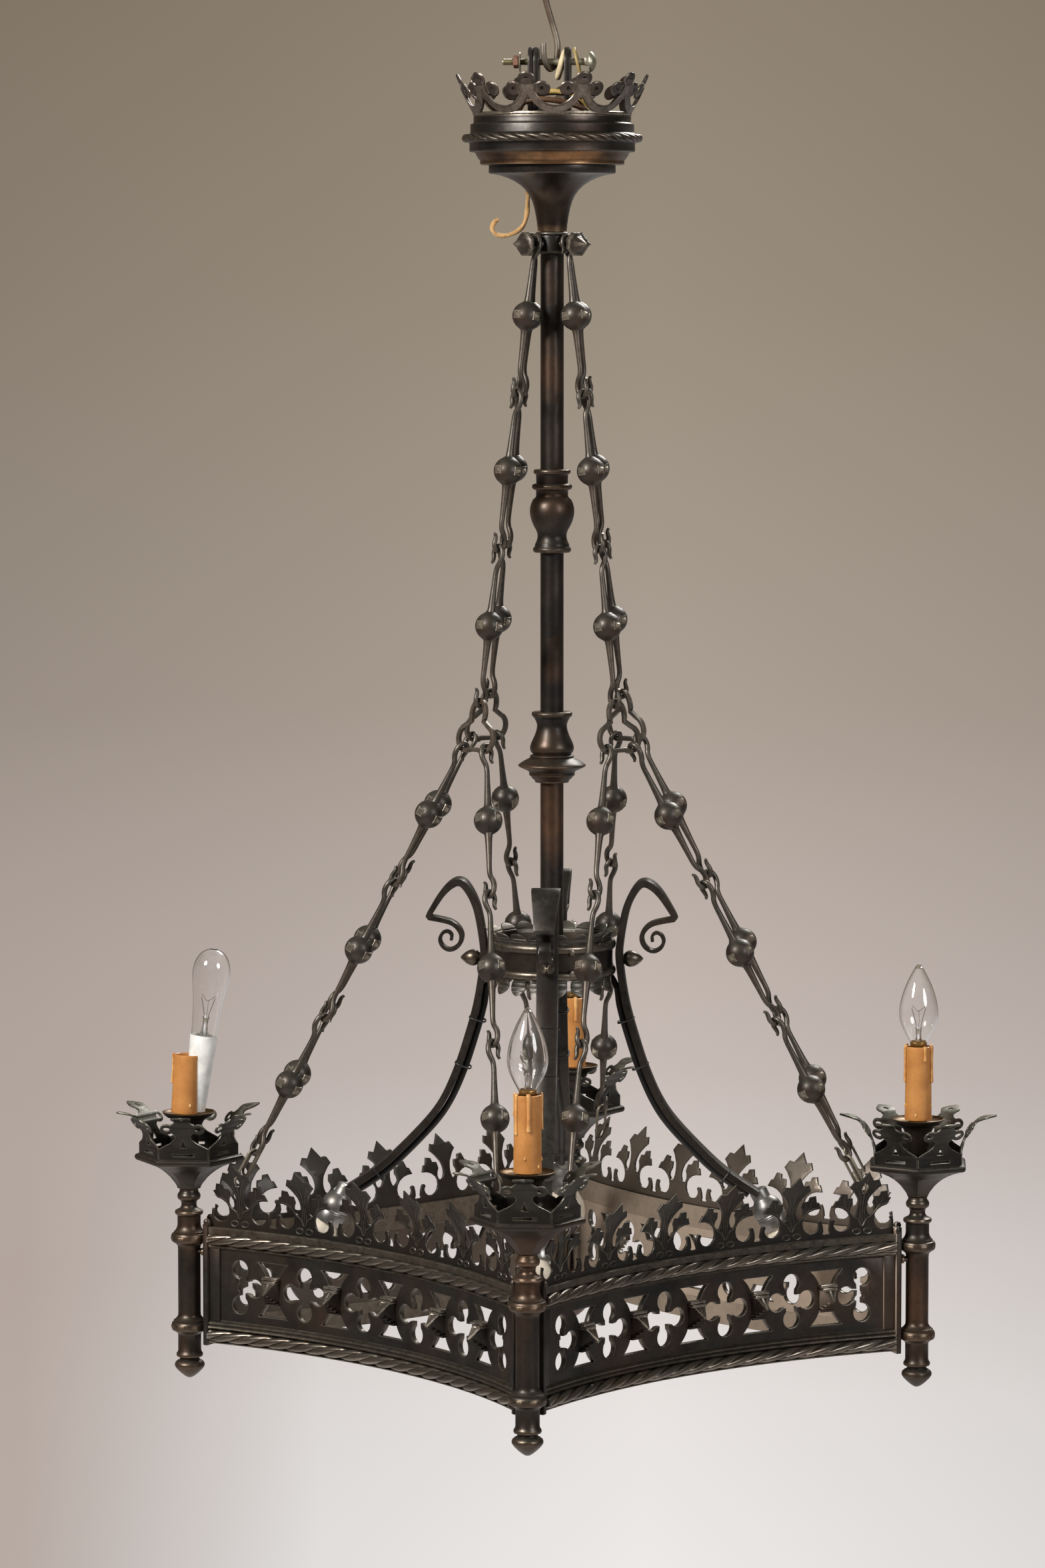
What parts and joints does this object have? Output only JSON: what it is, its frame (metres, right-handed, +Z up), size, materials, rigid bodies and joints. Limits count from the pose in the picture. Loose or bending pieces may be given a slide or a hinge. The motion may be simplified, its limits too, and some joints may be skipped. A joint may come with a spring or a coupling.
{
  "type": "wrought iron chandelier",
  "caption": "Hanging chandelier: a concave-sided pierced iron ring on link chains carries candle lights at its corners, round a stem with scroll arms under a crowned canopy.",
  "frame": {"origin": "centre of the eye of the hanging hook, where the ceiling hook holds the chandelier", "axes": "+Z up along the stem, -Y to the front corner of the ring, +X to its right corner"},
  "size_m": [0.7875, 0.797, 1.3138],
  "materials": {
    "iron": "wrought iron with a dark bronze-brown patina, rubbed to grey on the high edges",
    "copper_iron": "dark patina rubbed through to a warm copper brown",
    "steel": "old galvanised steel with light rust",
    "candle": "ochre candle sleeve with moulded drips",
    "bulb_glass": "clear glass candle bulb on a brass cap",
    "cloth": "tan cloth-covered wire"
  },
  "bodies": {
    "hook": {"hanging_hook": "steel"},
    "fixture": {"hanging_bolt": "steel", "hanging_nut": "steel", "hanger_fork": "iron", "stem_tube": "copper_iron", "chain_collar": "iron", "upper_knop": "copper_iron", "lower_knop": "copper_iron", "crown_band": "iron", "scroll_arm_front": "iron", "acorn_nut_front": "iron", "corner_post_front": "copper_iron", "drip_pan_front": "iron", "scroll_arm_right": "iron", "acorn_nut_right": "iron", "corner_post_right": "copper_iron", "drip_pan_right": "iron", "scroll_arm_back": "iron", "acorn_nut_back": "iron", "corner_post_back": "copper_iron", "drip_pan_back": "iron", "scroll_arm_left": "iron", "acorn_nut_left": "iron", "corner_post_left": "copper_iron", "drip_pan_left": "iron", "trefoil_link_front_right": "iron", "side_panel_front_right": "iron", "cresting_front_right": "iron", "trefoil_link_back_right": "iron", "side_panel_back_right": "iron", "cresting_back_right": "iron", "trefoil_link_back_left": "iron", "side_panel_back_left": "iron", "cresting_back_left": "iron", "trefoil_link_front_left": "iron", "side_panel_front_left": "iron", "cresting_front_left": "iron"},
    "canopy": {"canopy_bell": "copper_iron", "canopy_coronet": "copper_iron", "loose_wire": "cloth"},
    "bulb_front": {"bulb_front": "bulb_glass"},
    "sleeve_front": {"candle_sleeve_front": "candle"},
    "bulb_right": {"bulb_right": "bulb_glass"},
    "sleeve_right": {"candle_sleeve_right": "candle"},
    "bulb_back": {"bulb_back": "bulb_glass"},
    "sleeve_back": {"candle_sleeve_back": "candle"},
    "bulb_left": {"bulb_left": "bulb_glass"},
    "sleeve_left": {"candle_sleeve_left": "candle"},
    "upper_chain_front_right": {"upper_chain_front_right": "iron"},
    "lower_chain_front_right_front": {"lower_chain_front_right_front": "iron"},
    "lower_chain_front_right_right": {"lower_chain_front_right_right": "iron"},
    "upper_chain_back_right": {"upper_chain_back_right": "iron"},
    "lower_chain_back_right_right": {"lower_chain_back_right_right": "iron"},
    "lower_chain_back_right_back": {"lower_chain_back_right_back": "iron"},
    "upper_chain_back_left": {"upper_chain_back_left": "iron"},
    "lower_chain_back_left_back": {"lower_chain_back_left_back": "iron"},
    "lower_chain_back_left_left": {"lower_chain_back_left_left": "iron"},
    "upper_chain_front_left": {"upper_chain_front_left": "iron"},
    "lower_chain_front_left_left": {"lower_chain_front_left_left": "iron"},
    "lower_chain_front_left_front": {"lower_chain_front_left_front": "iron"}
  },
  "joints": [
    {"name": "fixture_swing", "type": "hinge", "parent": "hook", "child": "fixture", "pos_m": [0, 0, -0.116], "axis": [1, 0, 0], "range_deg": [-8, 8]},
    {"name": "canopy_lift", "type": "slide", "parent": "fixture", "child": "canopy", "axis": [0, 0, 1], "range_m": [0, 0.018]},
    {"name": "bulb_turn_front", "type": "hinge", "parent": "fixture", "child": "bulb_front", "pos_m": [0, -0.328, -0.99], "axis": [0, 0, 1], "range_deg": [0, 360]},
    {"name": "sleeve_turn_front", "type": "hinge", "parent": "fixture", "child": "sleeve_front", "pos_m": [0, -0.328, -1.02], "axis": [0, 0, 1], "range_deg": [-180, 180]},
    {"name": "bulb_turn_right", "type": "hinge", "parent": "fixture", "child": "bulb_right", "pos_m": [0.328, 0, -0.99], "axis": [0, 0, 1], "range_deg": [0, 360]},
    {"name": "sleeve_turn_right", "type": "hinge", "parent": "fixture", "child": "sleeve_right", "pos_m": [0.328, 0, -1.02], "axis": [0, 0, 1], "range_deg": [-180, 180]},
    {"name": "bulb_turn_back", "type": "hinge", "parent": "fixture", "child": "bulb_back", "pos_m": [0, 0.328, -0.99], "axis": [0, 0, 1], "range_deg": [0, 360]},
    {"name": "sleeve_turn_back", "type": "hinge", "parent": "fixture", "child": "sleeve_back", "pos_m": [0, 0.328, -1.02], "axis": [0, 0, 1], "range_deg": [-180, 180]},
    {"name": "bulb_turn_left", "type": "hinge", "parent": "fixture", "child": "bulb_left", "pos_m": [-0.328, 0, -0.99], "axis": [0, 0, 1], "range_deg": [0, 360]},
    {"name": "sleeve_turn_left", "type": "hinge", "parent": "fixture", "child": "sleeve_left", "pos_m": [-0.328, 0, -1.02], "axis": [0, 0, 1], "range_deg": [-180, 180]},
    {"name": "twist_upper_chain_front_right", "type": "hinge", "parent": "fixture", "child": "upper_chain_front_right", "pos_m": [0.01414, -0.01414, -0.2756], "axis": [-0.1115, 0.1115, 0.9875], "range_deg": [-5, 5]},
    {"name": "twist_lower_chain_front_right_front", "type": "hinge", "parent": "fixture", "child": "lower_chain_front_right_front", "pos_m": [0.05282, -0.07651, -0.7218], "axis": [0.0544, 0.4594, 0.8865], "range_deg": [-5, 5]},
    {"name": "twist_lower_chain_front_right_right", "type": "hinge", "parent": "fixture", "child": "lower_chain_front_right_right", "pos_m": [0.07651, -0.05282, -0.7218], "axis": [-0.4594, -0.0544, 0.8865], "range_deg": [-5, 5]},
    {"name": "twist_upper_chain_back_right", "type": "hinge", "parent": "fixture", "child": "upper_chain_back_right", "pos_m": [0.01414, 0.01414, -0.2756], "axis": [-0.1115, -0.1115, 0.9875], "range_deg": [-5, 5]},
    {"name": "twist_lower_chain_back_right_right", "type": "hinge", "parent": "fixture", "child": "lower_chain_back_right_right", "pos_m": [0.07651, 0.05282, -0.7218], "axis": [-0.4594, 0.0544, 0.8865], "range_deg": [-5, 5]},
    {"name": "twist_lower_chain_back_right_back", "type": "hinge", "parent": "fixture", "child": "lower_chain_back_right_back", "pos_m": [0.05282, 0.07651, -0.7218], "axis": [0.0544, -0.4594, 0.8865], "range_deg": [-5, 5]},
    {"name": "twist_upper_chain_back_left", "type": "hinge", "parent": "fixture", "child": "upper_chain_back_left", "pos_m": [-0.01414, 0.01414, -0.2756], "axis": [0.1115, -0.1115, 0.9875], "range_deg": [-5, 5]},
    {"name": "twist_lower_chain_back_left_back", "type": "hinge", "parent": "fixture", "child": "lower_chain_back_left_back", "pos_m": [-0.05282, 0.07651, -0.7218], "axis": [-0.0544, -0.4594, 0.8865], "range_deg": [-5, 5]},
    {"name": "twist_lower_chain_back_left_left", "type": "hinge", "parent": "fixture", "child": "lower_chain_back_left_left", "pos_m": [-0.07651, 0.05282, -0.7218], "axis": [0.4594, 0.0544, 0.8865], "range_deg": [-5, 5]},
    {"name": "twist_upper_chain_front_left", "type": "hinge", "parent": "fixture", "child": "upper_chain_front_left", "pos_m": [-0.01414, -0.01414, -0.2756], "axis": [0.1115, 0.1115, 0.9875], "range_deg": [-5, 5]},
    {"name": "twist_lower_chain_front_left_left", "type": "hinge", "parent": "fixture", "child": "lower_chain_front_left_left", "pos_m": [-0.07651, -0.05282, -0.7218], "axis": [0.4594, -0.0544, 0.8865], "range_deg": [-5, 5]},
    {"name": "twist_lower_chain_front_left_front", "type": "hinge", "parent": "fixture", "child": "lower_chain_front_left_front", "pos_m": [-0.05282, -0.07651, -0.7218], "axis": [-0.0544, 0.4594, 0.8865], "range_deg": [-5, 5]}
  ]
}
